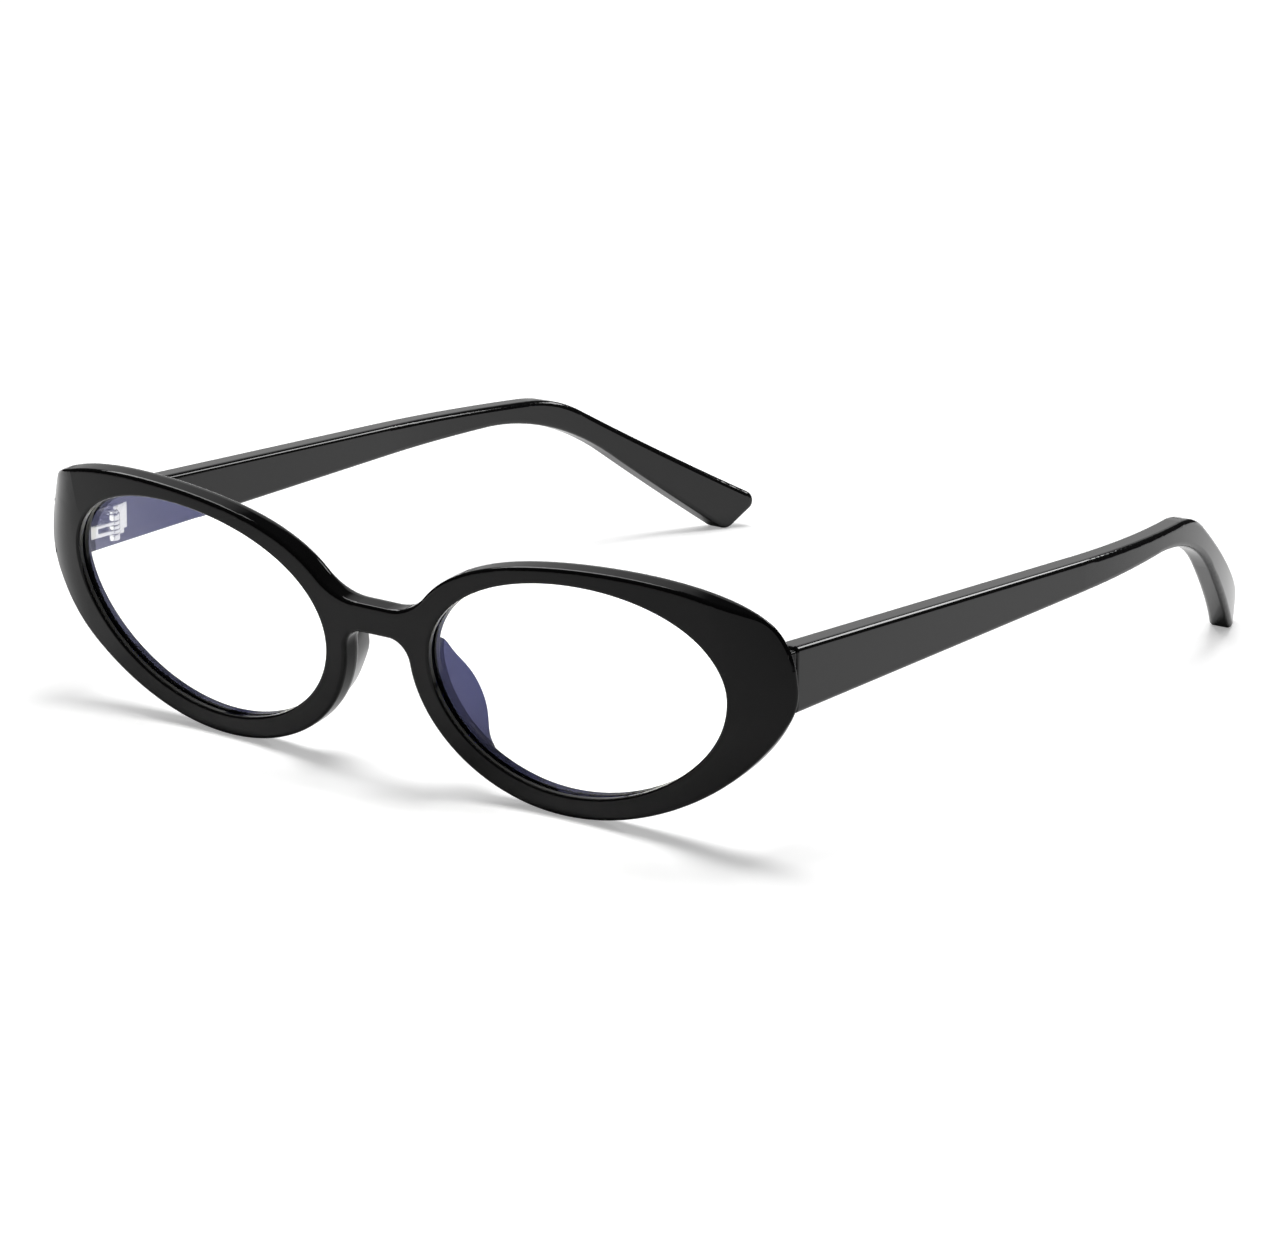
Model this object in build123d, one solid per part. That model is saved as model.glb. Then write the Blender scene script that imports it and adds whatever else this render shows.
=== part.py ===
"""Oval eyeglasses with a black acetate front, clear lenses and five-barrel hinges.

The front is drawn upright, x across the face, y from front to back and z up, with its
face on the plane y = 0. It is then leaned forward by the pantoscopic angle. The temples
and hinges are drawn in the final frame, where the hinge axes are vertical. The left
side of the wearer is +X. At the end everything is set down with its lowest points on
z = 0 and the middle of its box over the origin.
"""
import os
from copy import copy
from math import asin, atan2, cos, degrees, pi, radians, sin, sqrt, tan

from build123d import *

# Front: lens openings and the rim around them
aperture_width = 50.1
aperture_height = 32.2
aperture_gap = 19.2
rim_nasal = 3.7
rim_temporal = 9.9
rim_top = 2.6
rim_bottom = 3.3
front_thickness = 4.2
end_trim = 0.6
front_edge_round = 0.6
front_back_round = 1.9
aperture_edge_round = 0.4

# Front: how its face bends back towards the temples, and how it leans
flat_half_width = 25.0
wrap_radius = 211.0
end_bend_length = 13.0
end_drop = 2.4
end_shaving_reach = 3.0
end_corner_round = 9.0
lean_angle = 9.54

# Bridge
bridge_rise = 6.7
bridge_height = 4.5
bridge_top_round = 10.0
bridge_bottom_round = 3.4

# Lenses
lens_lap = 0.7
lens_clearance = 0.05
lens_radius = 140.0
lens_thickness = 1.8
lens_depth = 1.15
lens_turn = 0.7
lens_height_z = 18.8

# Nose pads
pad_drop = 0.6
pad_length = 15.8
pad_depth = 9.2
pad_width = 3.1
pad_crest_width = 2.1
pad_edge_round = 0.8
pad_inset = 0.08
pad_wall = 0.15

# End blocks behind the rims, where the temples butt
end_block_width = 6.9
end_block_depth = 2.05
end_block_top_step = 0.4
end_block_bottom_step = 0.3
end_block_round = 0.4
butt_gap = 0.15

# Temples
temple_step = 1.3
temple_thickness = 3.7
temple_front_y = 4.85
temple_front_height = 9.4
temple_rise = 10.55
temple_bend_y = 112.0
temple_bend_drop = 3.54
temple_neck_height = 2.5
temple_tip_y = 148.85
temple_tip_drop = 25.17
temple_tip_height = 7.4
temple_tip_skew = 2.3
temple_bend_round = 22.0
temple_neck_round = 39.0
temple_curl_start_y = 75.0
temple_curl_radius = 152.0
temple_edge_round = 0.8
temple_tip_round = 1.8
temple_end_round = 0.3

# Core wires inside the temples
wire_height = 1.3
wire_thickness = 1.3
wire_start_gap = 0.4
wire_end_gap = 9.0
wire_bend_round = 30.0

# Hinges: barrel of five knuckles, the outer two taller
hinge_offset = 2.0
hinge_setback = 5.0
hinge_drop = 7.2
knuckle_radius = 1.2
outer_knuckle_height = 1.0
inner_knuckle_height = 0.62
knuckle_gap = 0.05
knuckle_count = 5

# Hinges: front half, with its foot in the end block
web_width = 1.8
web_depth = 1.5
front_foot_depth = 2.4
barb_reach = 0.25
barb_length = 0.5
barb_pitch = 0.8

# Hinges: temple half, with its foot in the temple
arm_width = 2.0
block_start = 1.3
block_length = 2.2
block_standoff = 1.1
block_height = 4.6
block_centre_drop = 4.75
temple_foot_depth = 1.3
temple_foot_length = 5.7
temple_foot_height = 4.0

# Hinge screws
screw_radius = 0.6
screw_clearance = 0.03
screw_head_radius = 0.95
screw_head_height = 0.35
screw_slot_width = 0.3
screw_slot_depth = 0.2

# One overrun serves every cut that has to pass through, and the snaps find edges by place
overrun = 12.0
snap = 0.05
end_snap = 0.2

# How an opening and the rim's outline differ from an ellipse, as shares of half their width
# and height: the width's two second harmonics, then the height's first cosine and its two
# second harmonics. The curve passes through every fifteenth of its 360 steps.
APERTURE_SHARES = (0.069, 0.028, 0.110, 0.019, 0.064)
OUTLINE_SHARES = (0.031, -0.039, 0.155, 0.129, -0.023)
OVAL_STEPS = 360
OVAL_STRIDE = 15

# How the ends of the face turn back: where their sections stand, as shares of the bend's
# length, and the heights of a section's points, as shares of its reach. Then how late the
# drop comes, and how much more the ends drop up and down than along their middle.
END_PLACE_SHARES = (0.0, 0.3, 0.6, 0.8, 1.0, 1.2)
END_HEIGHT_SHARES = (-1.0, -0.5, 0.0, 0.5, 1.0)
END_LATE_SHARE = 3.0
END_CROWN_SHARE = 2.0

# Nose pad, bottom to top: height as a share of its span, then how far its crest stands out
# sideways from the rim's nose side and how deep it reaches, as shares of its depth
PAD_STATION_SHARES = (
    (0.0, 0.17, 0.41), (0.09, 0.23, 0.66), (0.22, 0.25, 0.84), (0.34, 0.30, 0.95),
    (0.47, 0.32, 0.99), (0.60, 0.29, 0.98), (0.72, 0.24, 0.91), (0.85, 0.15, 0.81),
    (1.0, 0.05, 0.64),
)

half_gap = aperture_gap / 2
lens_centre_x = half_gap + aperture_width / 2
lens_wrap = asin((lens_centre_x - flat_half_width) / wrap_radius) + radians(lens_turn)
lens_middle_x = lens_centre_x - lens_radius * sin(lens_wrap)
lens_middle_y = lens_depth + lens_radius * cos(lens_wrap)
outline_width = aperture_width + rim_nasal + rim_temporal
outline_height = aperture_height + rim_top + rim_bottom
outline_centre_x = half_gap - rim_nasal + outline_width / 2
outline_centre_z = lens_height_z + (rim_top - rim_bottom) / 2
front_half_width = half_gap + aperture_width + rim_temporal - end_trim
end_seam_x = front_half_width - end_bend_length
bridge_top = lens_height_z + bridge_rise
bridge_bottom = bridge_top - bridge_height
pad_height_top = bridge_bottom - pad_drop
pad_height_bottom = pad_height_top - pad_length
temple_outer_x = front_half_width - temple_step
temple_inner_x = temple_outer_x - temple_thickness
temple_top_z = lens_height_z + temple_rise
temple_bottom_z = temple_top_z - temple_front_height
temple_bend_top_z = temple_top_z - temple_bend_drop
temple_tip_top_z = temple_top_z - temple_tip_drop
butt_y = temple_front_y - butt_gap
hinge_axis_x = temple_inner_x - hinge_offset
hinge_axis_y = temple_front_y + hinge_setback
hinge_bottom_z = temple_top_z - hinge_drop
block_centre_z = temple_top_z - block_centre_drop
foot_centre_y = hinge_axis_y + block_start + block_length / 2
wire_start_y = foot_centre_y + temple_foot_length / 2 + wire_start_gap
knuckle_heights = [
    outer_knuckle_height if level in (0, knuckle_count - 1) else inner_knuckle_height
    for level in range(knuckle_count)
]
hinge_height = sum(knuckle_heights) + (knuckle_count - 1) * knuckle_gap
hinge_top_z = hinge_bottom_z + hinge_height


def oval_raw(turn, shares):
    """Return one point of a leaning oval of unit size, at a turn in radians."""
    widen, skew, lift, tuck, shear = shares
    across = cos(turn) + widen * cos(2 * turn) + skew * sin(2 * turn)
    up = sin(turn) + lift * cos(turn) + tuck * cos(2 * turn) + shear * sin(2 * turn)
    return across, up


def oval(centre_x, centre_z, width, height, shares):
    """Return a leaning oval face on the XZ plane that just fills a box."""
    raw = [oval_raw(2 * pi * step / OVAL_STEPS, shares) for step in range(OVAL_STEPS)]
    spans = []
    for values in zip(*raw):
        spans.append(((min(values) + max(values)) / 2, max(values) - min(values)))
    (middle_x, span_x), (middle_z, span_z) = spans
    points = [
        (centre_x + (x - middle_x) * width / span_x, centre_z + (z - middle_z) * height / span_z)
        for x, z in raw[::OVAL_STRIDE]
    ]
    return Plane.XZ * make_face(Spline(*points, periodic=True))


def cut_end(outline):
    """Return the left outline cut upright at the front's end, its two corners rounded."""
    kept = Plane.XZ * Rectangle(2 * front_half_width, 2 * outline_height)
    cut = outline & (Pos(0, 0, outline_centre_z) * kept)
    corners = cut.vertices().filter_by(lambda corner: corner.X > front_half_width - snap)
    return fillet(corners, end_corner_round) if len(corners) > 1 else cut


def box_between(low, high):
    """Return a box from its lowest and highest corners."""
    size = [top - bottom for bottom, top in zip(low, high)]
    middle = [(top + bottom) / 2 for bottom, top in zip(low, high)]
    return Pos(*middle) * Box(*size)


def both_sides(solid):
    """Return a solid and its mirror image."""
    return solid, mirror(solid, about=Plane.YZ)


def plan_slab():
    """Return the front's bent slab, of even thickness."""
    reach = front_half_width + overrun
    turn = degrees(asin((reach - flat_half_width) / wrap_radius))
    face_arc = CenterArc((flat_half_width, wrap_radius), wrap_radius, -90, turn)
    back_arc = CenterArc((flat_half_width, wrap_radius), wrap_radius - front_thickness, -90, turn)
    half = make_face([
        Line((0, 0), face_arc @ 0), face_arc, Line(face_arc @ 1, back_arc @ 1),
        back_arc, Line(back_arc @ 0, (0, front_thickness)), Line((0, front_thickness), (0, 0)),
    ])
    slab = extrude(Pos(0, 0, -overrun) * half, outline_height + 2 * overrun)
    return slab + mirror(slab, about=Plane.YZ)


def end_face_depth(x, z):
    """Return the depth of the face where its left end turns back, at a place across and a height."""
    share = (x - end_seam_x) / end_bend_length
    rise = 2 * (z - lens_height_z) / outline_height
    turned = share**2 * (1 + END_CROWN_SHARE * rise**2)
    drop = (sqrt(1 + END_LATE_SHARE * turned**2) - 1) / (sqrt(1 + END_LATE_SHARE) - 1)
    return bend_depth(x, 0) + end_drop * drop


def end_shaving():
    """Return what the end of the face loses where it turns back and falls away up and down."""
    reach = outline_height / 2 + end_shaving_reach
    low, high = lens_height_z - reach, lens_height_z + reach
    sections = []
    for place in END_PLACE_SHARES:
        x = end_seam_x + place * end_bend_length
        heights = [lens_height_z + share * reach for share in END_HEIGHT_SHARES]
        rim = [(end_face_depth(x, z), z) for z in heights]
        section = make_face([
            Line((-overrun, low), rim[0]), Spline(*rim),
            Line(rim[-1], (-overrun, high)), Line((-overrun, high), (-overrun, low)),
        ])
        sections.append(Plane.YZ.offset(x) * section)
    return loft(sections)


def through(face, near=-overrun, far=front_thickness + 2 * overrun):
    """Return a face on the XZ plane as a bar from one depth to another."""
    return extrude(Pos(0, near, 0) * face, far - near, dir=(0, 1, 0))


def lens_blank(extra):
    """Return the left lens, grown by a clearance, in the front's upright frame."""
    grown = 2 * (lens_lap + extra)
    shape = oval(
        lens_centre_x, lens_height_z, aperture_width + grown, aperture_height + grown,
        APERTURE_SHARES,
    )
    outer_radius = lens_radius + lens_thickness / 2 + extra
    shell = Sphere(outer_radius) - Sphere(outer_radius - lens_thickness - 2 * extra)
    return through(shape) & (Pos(lens_middle_x, lens_middle_y, lens_height_z) * shell)


def groove_back(x):
    """Return how deep the back of the lens groove is, at the lens's height, at a place across."""
    radius = lens_radius - lens_thickness / 2 - lens_clearance
    return lens_middle_y - sqrt(radius**2 - (x - lens_middle_x) ** 2)


def bend_depth(x, behind):
    """Return the depth of the bent front at a place across it, a distance behind its face."""
    out = max(abs(x) - flat_half_width, 0)
    return wrap_radius - sqrt((wrap_radius - behind) ** 2 - out**2)


def rim_edges(solid, behind):
    """Return the edges around one face of the bent front, without the seams across it."""

    def lies_on_face(edge):
        """Tell whether an edge stays on the face and isn't a seam."""
        places = [edge @ share for share in (0, 1 / 4, 1 / 2, 3 / 4, 1)]
        off_face = max(abs(place.Y - bend_depth(place.X, behind)) for place in places)
        on_seam = max(abs(abs(place.X) - flat_half_width) for place in places)
        return off_face < snap and on_seam > snap

    return solid.edges().filter_by(lies_on_face)


def end_edges(solid):
    """Return the edges round the faces that turn back at the two ends, without their seams."""

    def on_end_face(edge):
        """Tell whether an edge keeps to a face that turns back and isn't its seam."""
        places = [edge @ share for share in (0, 1 / 4, 1 / 2, 3 / 4, 1)]
        across = [abs(place.X) for place in places]
        if min(across) < end_seam_x - snap or max(across) < end_seam_x + snap:
            return False
        return max(abs(p.Y - end_face_depth(abs(p.X), p.Z)) for p in places) < end_snap

    return solid.edges().filter_by(on_end_face)


def corner_edges(solid, level):
    """Return the bars' corner edges, front to back, at one level of the bridge."""
    middle = solid.center(CenterOf.BOUNDING_BOX).Y
    return solid.edges().filter_by(
        lambda edge: abs(edge.center().Z - level) < snap and abs(edge.center().Y - middle) < snap
    )


def lean(solid):
    """Lean a piece of the front forward by the pantoscopic angle."""
    return Rot(lean_angle, 0, 0) * solid


def make_front():
    """Return the front, open for the lenses and with a groove round each opening."""
    bar = through(left_outline)
    bridge = box_between(
        (-half_gap, -overrun, bridge_bottom), (half_gap, front_thickness + 2 * overrun, bridge_top)
    )
    bars = bar + mirror(bar, about=Plane.YZ) + bridge
    bars = fillet(corner_edges(bars, bridge_top), bridge_top_round)
    bars = fillet(corner_edges(bars, bridge_bottom), bridge_bottom_round)
    body = bars & plan_slab()
    body = fillet(rim_edges(body, front_thickness), front_back_round)
    for shaving in both_sides(end_shaving()):
        body = body - shaving
    body = fillet(rim_edges(body, 0) + end_edges(body), front_edge_round)
    for opening in both_sides(through(left_aperture)):
        body = body - opening
    body = fillet(aperture_edges(body), aperture_edge_round)
    for groove in both_sides(lens_blank(lens_clearance)):
        body = body - groove
    return lean(body)


def aperture_edges(solid):
    """Return the edges of the two lens openings, on the face and on the back."""
    inside = through(left_aperture).bounding_box()
    found = rim_edges(solid, 0) + rim_edges(solid, front_thickness)

    def around_opening(edge):
        """Tell whether an edge keeps within the box of an opening."""
        places = [edge @ share for share in (0, 1 / 2, 1)]
        across = [abs(place.X) for place in places]
        return (
            min(across) > inside.min.X - snap
            and max(across) < inside.max.X + snap
            and max(place.Z for place in places) < inside.max.Z + snap
            and min(place.Z for place in places) > inside.min.Z - snap
        )

    return found.filter_by(around_opening)


def nose_side(height):
    """Return how far out the rim's nose side is at a height."""
    strip = Pos(0, 0, height) * (Plane.XZ * Rectangle(2 * outline_centre_x, snap))
    return (left_outline & strip).bounding_box().min.X


def make_pad(front):
    """Return the left nose pad, bonded to the back of the rim beside the nose."""
    sections = []
    pad_start = groove_back(half_gap - lens_lap) + pad_wall
    for up, out, back in PAD_STATION_SHARES:
        height = pad_height_bottom + up * (pad_height_top - pad_height_bottom)
        root = nose_side(height) + pad_inset
        crest = root + out * pad_depth
        corners = [
            (root, front_thickness - front_back_round - pad_inset),
            (root + pad_width, pad_start),
            (crest + pad_crest_width, back * pad_depth),
            (crest, back * pad_depth),
        ]
        section = make_face(Polyline(*corners, close=True))
        edge_round = min(pad_edge_round, (back * pad_depth - pad_start) / 4)
        section = fillet(section.vertices().group_by(Axis.Y)[-1], edge_round)
        sections.append(Pos(0, 0, height) * section)
    return lean(loft(sections)) - front


def end_block():
    """Return the left block that fills the space from the rim's back to the temple."""
    block = box_between(
        (
            temple_outer_x - end_block_width, butt_y - end_block_depth,
            temple_bottom_z + end_block_bottom_step,
        ),
        (temple_outer_x, butt_y, temple_top_z - end_block_top_step),
    )
    back_edges = block.edges().group_by(Axis.Y)[-1]
    return fillet(block.edges().filter_by(Axis.Y) + back_edges, end_block_round)


def temple_seat():
    """Return the space that the left temple's end needs behind the rim."""
    return box_between(
        (temple_inner_x - butt_gap, butt_y, temple_bottom_z - butt_gap),
        (temple_outer_x + overrun, temple_front_y + overrun, temple_top_z + overrun),
    )


def knuckle_span(level):
    """Return the bottom and the top of one of the barrel's knuckles."""
    bottom = hinge_bottom_z + sum(knuckle_heights[:level]) + level * knuckle_gap
    return bottom, bottom + knuckle_heights[level]


def on_axis(radius, bottom, top):
    """Return a cylinder about the left hinge's axis between two heights."""
    return Pos(hinge_axis_x, hinge_axis_y, (bottom + top) / 2) * Cylinder(radius, top - bottom)


def barbed_foot(width, length, height):
    """Return a foot that runs from the origin along -Y, with teeth against pulling out."""
    side = [(width / 2, 0)]
    for step in range(int(length / barb_pitch)):
        tooth = -step * barb_pitch - barb_length / 2
        side += [
            (width / 2, tooth), (width / 2 + barb_reach, tooth), (width / 2, tooth - barb_length)
        ]
    side.append((width / 2, -length))
    points = side + [(-x, y) for x, y in reversed(side)]
    return Pos(0, 0, -height / 2) * extrude(make_face(Polyline(*points, close=True)), height)


def front_foot():
    """Return the foot of the left hinge's front half, sunk in the end block."""
    bottom, top = knuckle_span(1)[0], knuckle_span(knuckle_count - 2)[1]
    foot = barbed_foot(web_width, front_foot_depth, top - bottom)
    return Pos(hinge_axis_x, butt_y, (bottom + top) / 2) * foot


def temple_foot():
    """Return the foot of the left hinge's temple half, sunk in the temple's inner side."""
    foot = Rot(0, 0, 90) * barbed_foot(temple_foot_length, temple_foot_depth, temple_foot_height)
    return Pos(temple_inner_x, foot_centre_y, block_centre_z) * foot


def make_front_hinge():
    """Return the front half of the left hinge: foot, web and a finger at each second knuckle."""
    low = hinge_axis_x - web_width / 2
    high = hinge_axis_x + web_width / 2
    web_back = butt_y + web_depth
    bottom, top = knuckle_span(1)[0], knuckle_span(knuckle_count - 2)[1]
    half = front_foot() + box_between((low, butt_y, bottom), (high, web_back, top))
    for level in range(1, knuckle_count, 2):
        bottom, top = knuckle_span(level)
        half = half + box_between((low, web_back, bottom), (high, hinge_axis_y, top))
        half = half + on_axis(knuckle_radius, bottom, top)
    return half - on_axis(screw_radius + screw_clearance, hinge_bottom_z, hinge_top_z)


def make_temple_hinge():
    """Return the temple half of the left hinge: foot, raised block and three arms."""
    block_front = hinge_axis_y + block_start
    half = temple_foot() + box_between(
        (temple_inner_x - block_standoff, block_front, block_centre_z - block_height / 2),
        (temple_inner_x, block_front + block_length, block_centre_z + block_height / 2),
    )
    for level in range(0, knuckle_count, 2):
        bottom, top = knuckle_span(level)
        half = half + box_between(
            (hinge_axis_x, hinge_axis_y - arm_width / 2, bottom), (temple_inner_x, block_front, top)
        )
        half = half + on_axis(knuckle_radius, bottom, top)
    thread_top = knuckle_span(0)[1]
    half = half - on_axis(screw_radius, hinge_bottom_z, thread_top)
    return half - on_axis(screw_radius + screw_clearance, thread_top, hinge_top_z)


def make_screw():
    """Return the left hinge's screw, its slotted head on top of the barrel."""
    head_top = hinge_top_z + screw_head_height
    screw = on_axis(screw_radius, hinge_bottom_z, hinge_top_z)
    screw = screw + on_axis(screw_head_radius, hinge_top_z, head_top)
    slot = Pos(hinge_axis_x, hinge_axis_y, head_top) * Box(
        screw_slot_width, 2 * screw_head_radius, 2 * screw_slot_depth
    )
    return screw - slot


def plan_band(outer, inner):
    """Return the temple's path seen from above between two distances in from its outer face."""
    middle = (temple_outer_x - temple_curl_radius, temple_curl_start_y)
    turn = degrees(asin((temple_tip_y + overrun - temple_curl_start_y) / temple_curl_radius))
    outer_arc = CenterArc(middle, temple_curl_radius - outer, 0, turn)
    inner_arc = CenterArc(middle, temple_curl_radius - inner, 0, turn)
    start = temple_front_y - overrun
    band = make_face([
        Line((temple_outer_x - outer, start), outer_arc @ 0), outer_arc,
        Line(outer_arc @ 1, inner_arc @ 1), inner_arc,
        Line(inner_arc @ 0, (temple_outer_x - inner, start)),
        Line((temple_outer_x - inner, start), (temple_outer_x - outer, start)),
    ])
    return Pos(0, 0, -overrun) * extrude(band, temple_top_z + 2 * overrun)


def temple_side():
    """Return the temple's side outline on the YZ plane: straight, bend and drop to the tip."""
    drop = atan2(temple_bend_top_z - temple_tip_top_z, temple_tip_y - temple_bend_y)
    neck = (
        temple_bend_y - temple_neck_height * tan(drop / 2), temple_bend_top_z - temple_neck_height
    )
    tip_bottom = (
        temple_tip_y - temple_tip_height * sin(drop) - temple_tip_skew * cos(drop),
        temple_tip_top_z - temple_tip_height * cos(drop) + temple_tip_skew * sin(drop),
    )
    corners = [
        (temple_front_y, temple_top_z), (temple_bend_y, temple_bend_top_z),
        (temple_tip_y, temple_tip_top_z), tip_bottom, neck,
        (temple_front_y, temple_bottom_z),
    ]
    side = make_face(Polyline(*corners, close=True))
    for corner, radius in (
        (corners[1], temple_bend_round), (neck, temple_neck_round),
        (corners[2], temple_tip_round), (tip_bottom, temple_tip_round),
    ):
        side = fillet(side.vertices().sort_by_distance((*corner, 0))[0], radius)
    return Plane.YZ * side


def make_temple(inserts):
    """Return the left temple, with pockets for the pieces inside it."""
    blank = extrude(temple_side(), temple_outer_x + overrun) & plan_band(0, temple_thickness)
    end = blank.edges().group_by(Axis.Y)[0]
    long_edges = blank.edges() - end
    across = long_edges.filter_by(Axis.X)
    temple = fillet(long_edges - across, temple_edge_round)
    temple = fillet(temple.edges().group_by(Axis.Y)[0], temple_end_round)
    for insert in inserts:
        temple = temple - insert
    return temple


def make_wire():
    """Return the left temple's core wire, a flat bar along the middle of the temple."""
    drop = atan2(temple_bend_top_z - temple_tip_top_z, temple_tip_y - temple_bend_y)
    run = wire_end_gap * cos(drop) + temple_tip_height * sin(drop) / 2
    fall = wire_end_gap * sin(drop) - temple_tip_height * cos(drop) / 2
    path = FilletPolyline(
        (wire_start_y, (temple_top_z + temple_bottom_z) / 2),
        (
            temple_bend_y - temple_neck_height * tan(drop / 2) / 2,
            temple_bend_top_z - temple_neck_height / 2,
        ),
        (temple_tip_y - run, temple_tip_top_z + fall),
        radius=wire_bend_round,
    )
    side = Plane.YZ * trace(path, wire_height)
    inset = (temple_thickness - wire_thickness) / 2
    return extrude(side, temple_outer_x + overrun) & plan_band(inset, inset + wire_thickness)


left_outline = cut_end(
    oval(outline_centre_x, outline_centre_z, outline_width, outline_height, OUTLINE_SHARES)
)
left_aperture = oval(
    lens_centre_x, lens_height_z, aperture_width, aperture_height, APERTURE_SHARES
)

front = make_front()
for block in both_sides(end_block() & lean(through(left_outline))):
    front = front + block
for seat in both_sides(temple_seat()):
    front = front - seat
core_wire = make_wire()
left_pieces = {
    "lens": lean(lens_blank(0)),
    "nose_pad": make_pad(front),
    "temple": make_temple([core_wire, temple_foot()]),
    "temple_core_wire": core_wire,
    "front_hinge": make_front_hinge(),
    "temple_hinge": make_temple_hinge(),
    "hinge_screw": make_screw(),
}
for foot in both_sides(front_foot()):
    front = front - foot

pieces = {"front_frame": front}
for name, left_piece in left_pieces.items():
    pieces[f"{name}_left"], pieces[f"{name}_right"] = both_sides(left_piece)

bounds = Compound(children=[copy(piece) for piece in pieces.values()]).bounding_box()
place = Pos(0, -(bounds.min.Y + bounds.max.Y) / 2, -bounds.min.Z)
os.makedirs("parts", exist_ok=True)
for name, piece in pieces.items():
    export_step(place * piece, os.path.join("parts", f"{name}.step"))

hinge_place = place * Pos(hinge_axis_x, hinge_axis_y, (hinge_bottom_z + hinge_top_z) / 2)
print("moved by", place.position)
print("left hinge axis, mm:", hinge_place.position)
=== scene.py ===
"""Studio picture of the oval eyeglasses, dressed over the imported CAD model.

The CAD pieces keep their meshes. The acetate front, the temples and the lenses get their
finishes, and the small hinge pieces are replaced by copies with softened edges.
Lengths are metres in the row frame: +X to the wearer's left, +Y back, +Z up.
"""
from __future__ import annotations

import logging
import math
from dataclasses import dataclass, field
from enum import Enum, IntEnum

import bpy
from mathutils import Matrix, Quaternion, Vector

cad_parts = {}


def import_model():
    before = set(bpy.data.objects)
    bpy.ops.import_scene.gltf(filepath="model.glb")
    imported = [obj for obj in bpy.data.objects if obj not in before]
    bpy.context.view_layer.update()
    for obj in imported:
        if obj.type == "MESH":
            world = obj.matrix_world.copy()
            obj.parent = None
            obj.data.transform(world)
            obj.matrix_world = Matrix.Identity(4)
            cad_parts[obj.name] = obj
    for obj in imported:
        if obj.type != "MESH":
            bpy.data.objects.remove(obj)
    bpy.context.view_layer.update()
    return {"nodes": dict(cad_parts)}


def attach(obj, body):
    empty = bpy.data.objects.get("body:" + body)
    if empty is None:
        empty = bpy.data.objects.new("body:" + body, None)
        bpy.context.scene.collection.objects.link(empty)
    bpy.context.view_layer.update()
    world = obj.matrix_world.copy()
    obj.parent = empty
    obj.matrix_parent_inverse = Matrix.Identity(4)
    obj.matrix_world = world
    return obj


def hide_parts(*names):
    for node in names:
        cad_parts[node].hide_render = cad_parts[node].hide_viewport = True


LOG = logging.getLogger("eyeglasses")
MILLIMETRE = 0.001
WHITE = (1.0, 1.0, 1.0, 1.0)


class Side(Enum):
    """The wearer's two sides."""

    LEFT = "left"
    RIGHT = "right"


class Slot(Enum):
    """The record's material slots."""

    FRONT = "front_acetate"
    TEMPLE = "temple_acetate"
    LENS = "lens"
    HINGE = "hinge_metal"
    SCREW = "screw_metal"
    CORE = "core_steel"


class NodeKind(Enum):
    """The shader nodes that the finishes and the studio use."""

    ADD_SHADER = "ShaderNodeAddShader"
    BACKGROUND = "ShaderNodeBackground"
    BUMP = "ShaderNodeBump"
    COORDINATES = "ShaderNodeTexCoord"
    DIFFUSE = "ShaderNodeBsdfDiffuse"
    EMISSION = "ShaderNodeEmission"
    GROUP = "ShaderNodeGroup"
    GROUP_INPUT = "NodeGroupInput"
    GROUP_OUTPUT = "NodeGroupOutput"
    LIGHT_PATH = "ShaderNodeLightPath"
    MAP_RANGE = "ShaderNodeMapRange"
    MAPPING = "ShaderNodeMapping"
    MATERIAL_OUTPUT = "ShaderNodeOutputMaterial"
    MATH = "ShaderNodeMath"
    MIX = "ShaderNodeMix"
    MIX_SHADER = "ShaderNodeMixShader"
    NOISE = "ShaderNodeTexNoise"
    VECTOR_MATH = "ShaderNodeVectorMath"
    WORLD_OUTPUT = "ShaderNodeOutputWorld"


class MixInput(IntEnum):
    """The places of a Mix node's inputs, several of which share a name."""

    FACTOR = 0
    NUMBER_A = 2
    NUMBER_B = 3
    COLOUR_A = 6
    COLOUR_B = 7


class MixOutput(IntEnum):
    """The places of a Mix node's outputs, which share one name."""

    NUMBER = 0
    COLOUR = 2


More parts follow.
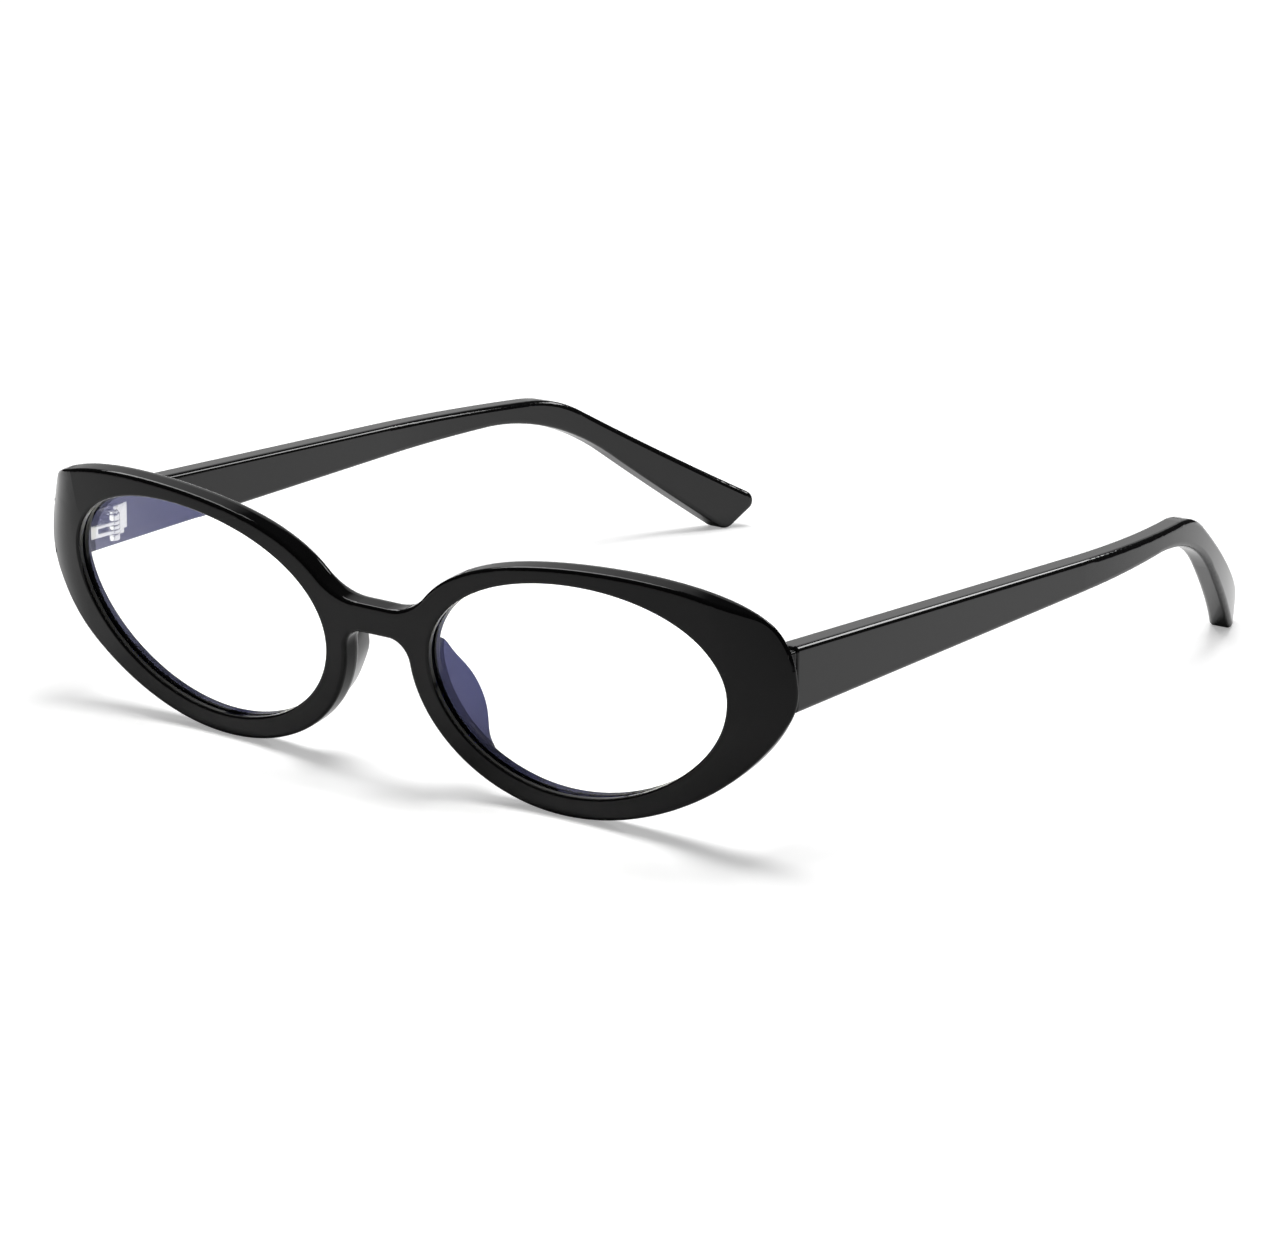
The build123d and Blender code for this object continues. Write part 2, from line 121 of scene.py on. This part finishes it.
@dataclass(frozen=True)
class Scratches:
    """Fine wear of a polished surface, as a node group that every finish places.

    The group puts out a roughness, a height for a bump and a mask of broad patches.
    """

    name: str = "polish_wear"
    start_scale: float = 120.0
    start_smooth: float = 0.05
    start_worn: float = 0.15
    patch_detail: float = 3.0
    haze_share: float = 0.35
    line_stretch: float = 14.0
    line_detail: float = 6.0

    def build(self) -> bpy.types.ShaderNodeTree:
        """Make the group, or return it if it is there already.

        Returns:
            The node group, with Scale, Smooth and Worn inputs.
        """
        if self.name in bpy.data.node_groups:
            return bpy.data.node_groups[self.name]
        tree = bpy.data.node_groups.new(self.name, "ShaderNodeTree")
        for label, start in (
            ("Scale", self.start_scale), ("Smooth", self.start_smooth), ("Worn", self.start_worn),
        ):
            socket = tree.interface.new_socket(label, in_out="INPUT", socket_type="NodeSocketFloat")
            socket.default_value = start
        for label in ("Roughness", "Height", "Patches"):
            tree.interface.new_socket(label, in_out="OUTPUT", socket_type="NodeSocketFloat")
        nodes, links = tree.nodes, tree.links
        given = nodes.new(NodeKind.GROUP_INPUT.value)
        out = nodes.new(NodeKind.GROUP_OUTPUT.value)
        place = nodes.new(NodeKind.COORDINATES.value)
        patches = nodes.new(NodeKind.NOISE.value)
        patches.inputs["Detail"].default_value = self.patch_detail
        stretch = nodes.new(NodeKind.MAPPING.value)
        stretch.inputs["Scale"].default_value = (self.line_stretch, 1.0, self.line_stretch)
        lines = nodes.new(NodeKind.NOISE.value)
        lines.inputs["Detail"].default_value = self.line_detail
        blend = nodes.new(NodeKind.MIX.value)
        blend.inputs[MixInput.FACTOR].default_value = self.haze_share
        spread = nodes.new(NodeKind.MAP_RANGE.value)
        links.new(place.outputs["Object"], patches.inputs["Vector"])
        links.new(place.outputs["Object"], stretch.inputs["Vector"])
        links.new(stretch.outputs["Vector"], lines.inputs["Vector"])
        for noise in (patches, lines):
            links.new(given.outputs["Scale"], noise.inputs["Scale"])
        links.new(patches.outputs["Fac"], blend.inputs[MixInput.NUMBER_A])
        links.new(lines.outputs["Fac"], blend.inputs[MixInput.NUMBER_B])
        links.new(blend.outputs[MixOutput.NUMBER], spread.inputs["Value"])
        links.new(given.outputs["Smooth"], spread.inputs["To Min"])
        links.new(given.outputs["Worn"], spread.inputs["To Max"])
        links.new(spread.outputs["Result"], out.inputs["Roughness"])
        links.new(blend.outputs[MixOutput.NUMBER], out.inputs["Height"])
        links.new(patches.outputs["Fac"], out.inputs["Patches"])
        return tree


@dataclass(frozen=True)
class Finish:
    """A finish: two close colours, a range of roughness and a faint relief.

    Attributes:
        name: The material's name.
        deep: The colour of the darker patches.
        pale: The colour of the lighter patches.
        smooth: The least roughness.
        worn: The greatest roughness.
        scale: How fine the wear is, in patches to the metre.
        relief: The height of the relief, in metres.
    """

    name: str
    deep: tuple[float, float, float]
    pale: tuple[float, float, float]
    smooth: float
    worn: float
    scale: float
    relief: float

    def build(self) -> bpy.types.Material:
        """Make the material.

        Returns:
            The material, ready for a slot.
        """
        material = bpy.data.materials.new(self.name)
        material.use_nodes = True
        shader = material.node_tree.nodes["Principled BSDF"]
        self.dress(material.node_tree, shader)
        return material

    def dress(self, tree: bpy.types.ShaderNodeTree, shader: bpy.types.ShaderNode) -> None:
        """Link the wear group to a shader.

        Args:
            tree: The material's node tree.
            shader: The material's Principled shader.
        """
        nodes, links = tree.nodes, tree.links
        wear = nodes.new(NodeKind.GROUP.value)
        wear.node_tree = Scratches().build()
        wear.inputs["Scale"].default_value = self.scale
        wear.inputs["Smooth"].default_value = self.smooth
        wear.inputs["Worn"].default_value = self.worn
        tint = nodes.new(NodeKind.MIX.value)
        tint.data_type = "RGBA"
        tint.inputs[MixInput.COLOUR_A].default_value = (*self.deep, 1.0)
        tint.inputs[MixInput.COLOUR_B].default_value = (*self.pale, 1.0)
        bump = nodes.new(NodeKind.BUMP.value)
        bump.inputs["Distance"].default_value = self.relief
        links.new(wear.outputs["Patches"], tint.inputs[MixInput.FACTOR])
        links.new(tint.outputs[MixOutput.COLOUR], shader.inputs["Base Color"])
        links.new(wear.outputs["Roughness"], shader.inputs["Roughness"])
        links.new(wear.outputs["Height"], bump.inputs["Height"])
        links.new(bump.outputs["Normal"], shader.inputs["Normal"])


@dataclass(frozen=True)
class AcetateFinish(Finish):
    """Polished black acetate.

    Attributes:
        refraction: Its refractive index.
        gloss: The strength of its highlights, where 0.5 is the index's own.
    """

    refraction: float = 1.49
    gloss: float = 0.5

    def dress(self, tree: bpy.types.ShaderNodeTree, shader: bpy.types.ShaderNode) -> None:
        """Link the wear and set the gloss of the plastic.

        Args:
            tree: The material's node tree.
            shader: The material's Principled shader.
        """
        super().dress(tree, shader)
        shader.inputs["IOR"].default_value = self.refraction
        shader.inputs["Specular IOR Level"].default_value = self.gloss


@dataclass(frozen=True)
class MetalFinish(Finish):
    """Plated or drawn metal."""

    def dress(self, tree: bpy.types.ShaderNodeTree, shader: bpy.types.ShaderNode) -> None:
        """Link the wear and make the shader a metal.

        Args:
            tree: The material's node tree.
            shader: The material's Principled shader.
        """
        super().dress(tree, shader)
        shader.inputs["Metallic"].default_value = 1.0


@dataclass(frozen=True)
class LensFinish(Finish):
    """Clear lens plastic whose coating reflects violet blue.

    Attributes:
        refraction: Its refractive index.
        gloss: The strength of its reflection, where 0.5 is the index's own.
        coating: The colour of its reflection.
    """

    refraction: float = 1.7
    gloss: float = 1.0
    coating: tuple[float, float, float] = (0.25, 0.27, 1.0)

    def dress(self, tree: bpy.types.ShaderNodeTree, shader: bpy.types.ShaderNode) -> None:
        """Link the wear and make the shader clear, with a tinted reflection.

        Args:
            tree: The material's node tree.
            shader: The material's Principled shader.
        """
        super().dress(tree, shader)
        shader.inputs["IOR"].default_value = self.refraction
        shader.inputs["Transmission Weight"].default_value = 1.0
        shader.inputs["Specular IOR Level"].default_value = self.gloss
        shader.inputs["Specular Tint"].default_value = (*self.coating, 1.0)


BLACK_ACETATE = AcetateFinish(
    name="black_acetate", deep=(0.0022, 0.0022, 0.0024), pale=(0.0036, 0.0035, 0.0036),
    smooth=0.045, worn=0.1, scale=240.0, relief=0.0000012, gloss=0.2,
)
TEMPLE_ACETATE = AcetateFinish(
    name="temple_black_acetate", deep=(0.0024, 0.0024, 0.0026), pale=(0.004, 0.0039, 0.004),
    smooth=0.05, worn=0.12, scale=200.0, relief=0.0000012,
)
NICKEL = MetalFinish(
    name="bright_nickel", deep=(0.8, 0.79, 0.78), pale=(0.9, 0.9, 0.9),
    smooth=0.12, worn=0.3, scale=1400.0, relief=0.000004,
)
SCREW_NICKEL = MetalFinish(
    name="screw_nickel", deep=(0.74, 0.74, 0.74), pale=(0.86, 0.86, 0.87),
    smooth=0.14, worn=0.34, scale=1800.0, relief=0.000004,
)
DRAWN_STEEL = MetalFinish(
    name="drawn_steel", deep=(0.5, 0.5, 0.51), pale=(0.64, 0.64, 0.65),
    smooth=0.25, worn=0.45, scale=900.0, relief=0.000006,
)
COATED_LENS = LensFinish(
    name="coated_lens", deep=(0.97, 0.98, 1.0), pale=(0.985, 0.99, 1.0),
    smooth=0.0, worn=0.012, scale=90.0, relief=0.0,
)


def dress(piece: bpy.types.Object, material: bpy.types.Material) -> None:
    """Give a piece one material all over.

    Args:
        piece: The mesh object.
        material: Its material.
    """
    piece.data.materials.clear()
    piece.data.materials.append(material)


@dataclass
class AcetateFront:
    """The front with its two bonded nose pads: the CAD pieces, polished."""

    nodes: dict[str, bpy.types.Object]
    finish: AcetateFinish = BLACK_ACETATE
    dressed: list[str] = field(default_factory=list)

    def build(self) -> None:
        """Dress the front and the pads."""
        material = self.finish.build()
        for name in ["front_frame"] + [f"nose_pad_{side.value}" for side in Side]:
            dress(self.nodes[name], material)
            self.dressed.append(name)


@dataclass
class Lenses:
    """The two clear lenses."""

    nodes: dict[str, bpy.types.Object]
    finish: LensFinish = COATED_LENS
    dressed: list[str] = field(default_factory=list)

    def build(self) -> None:
        """Dress the lenses, which cast no shadow of their own."""
        material = self.finish.build()
        for side in Side:
            lens = self.nodes[f"lens_{side.value}"]
            dress(lens, material)
            lens.visible_shadow = False
            self.dressed.append(lens.name)


@dataclass
class Temples:
    """The two temples with the core wires inside them."""

    nodes: dict[str, bpy.types.Object]
    finish: AcetateFinish = TEMPLE_ACETATE
    core: MetalFinish = DRAWN_STEEL
    dressed: list[str] = field(default_factory=list)

    def build(self) -> None:
        """Dress both temples and both wires."""
        acetate, steel = self.finish.build(), self.core.build()
        for side in Side:
            for name, material in (("temple", acetate), ("temple_core_wire", steel)):
                dress(self.nodes[f"{name}_{side.value}"], material)
                self.dressed.append(f"{name}_{side.value}")


@dataclass
class Hinges:
    """The hinge halves and their screws, as copies with softened edges.

    Attributes:
        nodes: The CAD nodes by name.
        plate: The finish of the hinge halves.
        screw: The finish of the screws.
        weld: How near points are merged.
        flat_angle: Up to which angle faces count as one flat face.
        edge_angle: From which angle an edge counts as sharp.
        soft_edge: The width of the bevels on the hinge halves.
        screw_edge: The width of the bevels on the screws.
        steps: The segments of a bevel.
        made: The names of the finished pieces.
    """

    nodes: dict[str, bpy.types.Object]
    plate: MetalFinish = NICKEL
    screw: MetalFinish = SCREW_NICKEL
    weld: float = 0.004 * MILLIMETRE
    flat_angle: float = math.radians(1.0)
    edge_angle: float = math.radians(35.0)
    soft_edge: float = 0.05 * MILLIMETRE
    screw_edge: float = 0.035 * MILLIMETRE
    steps: int = 2
    made: list[str] = field(default_factory=list)

    def build(self) -> None:
        """Make the softened copies of all six pieces."""
        plate, screw = self.plate.build(), self.screw.build()
        for side in Side:
            arm = f"temple_arm_{side.value}"
            for name, body, slot, material, edge in (
                ("front_hinge", "front", Slot.HINGE, plate, self.soft_edge),
                ("temple_hinge", arm, Slot.HINGE, plate, self.soft_edge),
                ("hinge_screw", arm, Slot.SCREW, screw, self.screw_edge),
            ):
                node = self.nodes[f"{name}_{side.value}"]
                piece = self.soften(node, f"{name}_plated_{side.value}", edge)
                dress(piece, material)
                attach(piece, body)
                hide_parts(node.name)
                self.made.append(piece.name)

    def soften(self, node: bpy.types.Object, name: str, edge: float) -> bpy.types.Object:
        """Copy a node, merge its points and bevel its sharp edges.

        Args:
            node: The CAD node.
            name: The new piece's name.
            edge: The bevel's width in metres.

        Returns:
            The new piece.
        """
        piece = bpy.data.objects.new(name, node.data.copy())
        bpy.context.scene.collection.objects.link(piece)
        bpy.ops.object.select_all(action="DESELECT")
        piece.select_set(True)
        bpy.context.view_layer.objects.active = piece
        bpy.ops.object.mode_set(mode="EDIT")
        bpy.ops.mesh.select_all(action="SELECT")
        bpy.ops.mesh.customdata_custom_splitnormals_clear()
        bpy.ops.mesh.remove_doubles(threshold=self.weld)
        bpy.ops.mesh.dissolve_limited(angle_limit=self.flat_angle)
        bpy.ops.object.mode_set(mode="OBJECT")
        bevel = piece.modifiers.new("soft_edges", "BEVEL")
        bevel.width = edge
        bevel.segments = self.steps
        bevel.limit_method = "ANGLE"
        bevel.angle_limit = self.edge_angle
        bpy.ops.object.modifier_apply(modifier=bevel.name)
        bpy.ops.object.shade_smooth_by_angle(angle=self.edge_angle)
        return piece


@dataclass(frozen=True)
class PhotoCamera:
    """The camera at the photograph's viewpoint.

    Attributes:
        place: Where it stands.
        aim: The point in the middle of its view.
        roll: Its turn about the line of sight.
        picture_width: The photograph's width in pixels.
        focal_pixels: Its focal length in those pixels.
        sensor: The width of its sensor in millimetres.
        clip_near: The nearest that it sees.
        clip_far: The furthest that it sees.
    """

    place: tuple[float, float, float] = (0.45916, -0.60555, 0.21727)
    aim: tuple[float, float, float] = (-0.00154, -0.01075, 0.00933)
    roll: float = math.radians(0.433)
    picture_width: float = 1284.0
    focal_pixels: float = 5182.0
    sensor: float = 36.0
    clip_near: float = 0.01
    clip_far: float = 50.0

    def build(self) -> None:
        """Make the camera and set it as the scene's own."""
        lens = bpy.data.cameras.new("photo_camera")
        lens.sensor_width = self.sensor
        lens.lens = self.sensor * self.focal_pixels / self.picture_width
        lens.clip_start, lens.clip_end = self.clip_near, self.clip_far
        camera = bpy.data.objects.new("photo_camera", lens)
        bpy.context.scene.collection.objects.link(camera)
        camera.location = self.place
        look = (Vector(self.aim) - Vector(self.place)).to_track_quat("-Z", "Y")
        camera.rotation_mode = "QUATERNION"
        camera.rotation_quaternion = look @ Quaternion((0.0, 0.0, 1.0), self.roll)
        bpy.context.scene.camera = camera


@dataclass(frozen=True)
class Lamp:
    """A rectangular soft lamp that points at the glasses.

    Attributes:
        name: The lamp's name.
        toward: The direction of the lamp from the glasses.
        distance: How far away it is.
        size: Its width and height.
        glow: How bright its face is, where 1 is white.
        mirrored: Whether glossy surfaces show it.
    """

    name: str
    toward: tuple[float, float, float]
    distance: float
    size: tuple[float, float]
    glow: float
    mirrored: bool = True

    def build(self) -> None:
        """Make the lamp."""
        light = bpy.data.lights.new(self.name, "AREA")
        light.shape = "RECTANGLE"
        light.size, light.size_y = self.size
        light.energy = self.glow * math.pi * self.size[0] * self.size[1]
        lamp = bpy.data.objects.new(self.name, light)
        bpy.context.scene.collection.objects.link(lamp)
        direction = Vector(self.toward).normalized()
        lamp.location = direction * self.distance
        lamp.rotation_mode = "QUATERNION"
        lamp.rotation_quaternion = (-direction).to_track_quat("-Z", "Y")
        lamp.visible_camera = False
        lamp.visible_glossy = self.mirrored
        lamp.visible_transmission = False


@dataclass(frozen=True)
class Studio:
    """A pale floor under soft light, with one pale panel that glossy surfaces mirror.

    Attributes:
        floor_size: The width of the floor.
        floor_drop: How far the floor lies under the glasses, so that no faces coincide.
        floor_colour: How pale the floor is.
        floor_lift: What the floor adds where the camera sees it, which makes it white.
        lens_lift: What it adds where it is seen through a lens.
        ambient: The strength of the light from all around.
        gloom: How bright the surroundings are that glossy surfaces mirror.
        panel_toward: The direction of the mirrored panel.
        panel_glow: How bright that panel is.
        panel_inner: The cosine of the angle inside which the panel is at its brightest.
        panel_outer: The cosine of the angle at which it has faded out.
        lamps: The lamps.
    """

    floor_size: float = 8.0
    floor_drop: float = 0.00002
    floor_colour: float = 0.8
    floor_lift: float = 0.35
    lens_lift: float = 0.7
    ambient: float = 0.13
    gloom: float = 0.03
    panel_toward: tuple[float, float, float] = (-0.59, 0.70, 0.37)
    panel_glow: float = 0.6
    panel_inner: float = math.cos(math.radians(19.0))
    panel_outer: float = math.cos(math.radians(27.0))
    lamps: tuple[Lamp, ...] = (
        Lamp(
            name="overhead", toward=(0.0, 0.16, 1.0), distance=1.1, size=(0.54, 0.54), glow=9.2,
            mirrored=False,
        ),
        Lamp(name="strip_left", toward=(-0.59, 0.15, 0.79), distance=0.9, size=(0.26, 0.6), glow=6.0),
        Lamp(name="strip_back", toward=(0.27, 0.76, 0.59), distance=0.9, size=(0.5, 0.12), glow=8.0),
    )

    def build(self) -> None:
        """Make the floor, the world and the lamps."""
        self.lay_floor()
        self.light_world()
        for lamp in self.lamps:
            lamp.build()

    def lay_floor(self) -> None:
        """Lay a pale floor that looks white and keeps the shadows."""
        bpy.ops.object.select_all(action="DESELECT")
        bpy.ops.mesh.primitive_plane_add(size=self.floor_size, location=(0, 0, -self.floor_drop))
        floor = bpy.context.active_object
        floor.name = "studio_floor"
        bpy.ops.object.transform_apply(location=True, rotation=True, scale=True)
        material = bpy.data.materials.new("studio_floor")
        material.use_nodes = True
        nodes, links = material.node_tree.nodes, material.node_tree.links
        nodes.clear()
        diffuse = nodes.new(NodeKind.DIFFUSE.value)
        diffuse.inputs["Color"].default_value = (*(self.floor_colour,) * 3, 1.0)
        lift = nodes.new(NodeKind.EMISSION.value)
        both = nodes.new(NodeKind.ADD_SHADER.value)
        out = nodes.new(NodeKind.MATERIAL_OUTPUT.value)
        seen = self.seen_by_camera(material.node_tree, self.floor_lift, self.lens_lift)
        links.new(seen, lift.inputs["Strength"])
        links.new(diffuse.outputs[0], both.inputs[0])
        links.new(lift.outputs[0], both.inputs[1])
        links.new(both.outputs[0], out.inputs["Surface"])
        dress(floor, material)

    @staticmethod
    def seen_by_camera(
        tree: bpy.types.NodeTree, straight: float, lensed: float,
    ) -> bpy.types.NodeSocket:
        """Add nodes that give a strength to what the camera sees, and zero to all else.

        Args:
            tree: The node tree to add to.
            straight: The strength where the camera sees it straight.
            lensed: The strength where it is seen through a lens.

        Returns:
            The socket that holds the strength.
        """
        path = tree.nodes.new(NodeKind.LIGHT_PATH.value)
        strength = tree.nodes.new(NodeKind.MATH.value)
        strength.operation = "MAXIMUM"
        for place, (ray, gain) in enumerate(
            (("Is Camera Ray", straight), ("Is Transmission Ray", lensed))
        ):
            factor = tree.nodes.new(NodeKind.MATH.value)
            factor.operation = "MULTIPLY"
            factor.inputs[1].default_value = gain
            tree.links.new(path.outputs[ray], factor.inputs[0])
            tree.links.new(factor.outputs[0], strength.inputs[place])
        return strength.outputs[0]

    def mirrored_panel(self, tree: bpy.types.NodeTree) -> bpy.types.NodeSocket:
        """Add nodes that are bright towards the panel and dim all round it.

        Args:
            tree: The world's node tree.

        Returns:
            The socket that holds the brightness.
        """
        place = tree.nodes.new(NodeKind.COORDINATES.value)
        toward = tree.nodes.new(NodeKind.VECTOR_MATH.value)
        toward.operation = "DOT_PRODUCT"
        toward.inputs[1].default_value = Vector(self.panel_toward).normalized()
        panel = tree.nodes.new(NodeKind.MAP_RANGE.value)
        panel.interpolation_type = "SMOOTHSTEP"
        for label, value in (
            ("From Min", self.panel_outer), ("From Max", self.panel_inner),
            ("To Min", self.gloom), ("To Max", self.panel_glow),
        ):
            panel.inputs[label].default_value = value
        tree.links.new(place.outputs["Generated"], toward.inputs[0])
        tree.links.new(toward.outputs["Value"], panel.inputs["Value"])
        return panel.outputs["Result"]

    def light_world(self) -> None:
        """Make a world that is white behind the glasses and mirrors one white panel."""
        world = bpy.data.worlds.new("studio")
        bpy.context.scene.world = world
        world.use_nodes = True
        nodes, links = world.node_tree.nodes, world.node_tree.links
        nodes.clear()
        white, mirrored, ambient = (nodes.new(NodeKind.BACKGROUND.value) for _ in range(3))
        white.inputs["Strength"].default_value = 1.0
        ambient.inputs["Strength"].default_value = self.ambient
        for background in (white, mirrored, ambient):
            background.inputs["Color"].default_value = WHITE
        links.new(self.mirrored_panel(world.node_tree), mirrored.inputs["Strength"])
        path = nodes.new(NodeKind.LIGHT_PATH.value)
        unseen = nodes.new(NodeKind.MIX_SHADER.value)
        whole = nodes.new(NodeKind.MIX_SHADER.value)
        links.new(path.outputs["Is Glossy Ray"], unseen.inputs[0])
        links.new(ambient.outputs[0], unseen.inputs[1])
        links.new(mirrored.outputs[0], unseen.inputs[2])
        seen = self.seen_by_camera(world.node_tree, straight=1.0, lensed=1.0)
        links.new(seen, whole.inputs[0])
        links.new(unseen.outputs[0], whole.inputs[1])
        links.new(white.outputs[0], whole.inputs[2])
        out = nodes.new(NodeKind.WORLD_OUTPUT.value)
        links.new(whole.outputs[0], out.inputs["Surface"])


def main() -> None:
    """Load the frame, dress every piece and set up the studio."""
    logging.basicConfig(level=logging.INFO, format="%(name)s: %(message)s")
    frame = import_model()
    bpy.context.scene.view_settings.view_transform = "Standard"
    PhotoCamera().build()
    nodes = frame["nodes"]
    for part in (AcetateFront(nodes), Lenses(nodes), Temples(nodes)):
        part.build()
        LOG.info("dressed %s", ", ".join(part.dressed))
    hinges = Hinges(nodes)
    hinges.build()
    LOG.info("made %s", ", ".join(hinges.made))
    Studio().build()


if __name__ == "__main__":
    main()
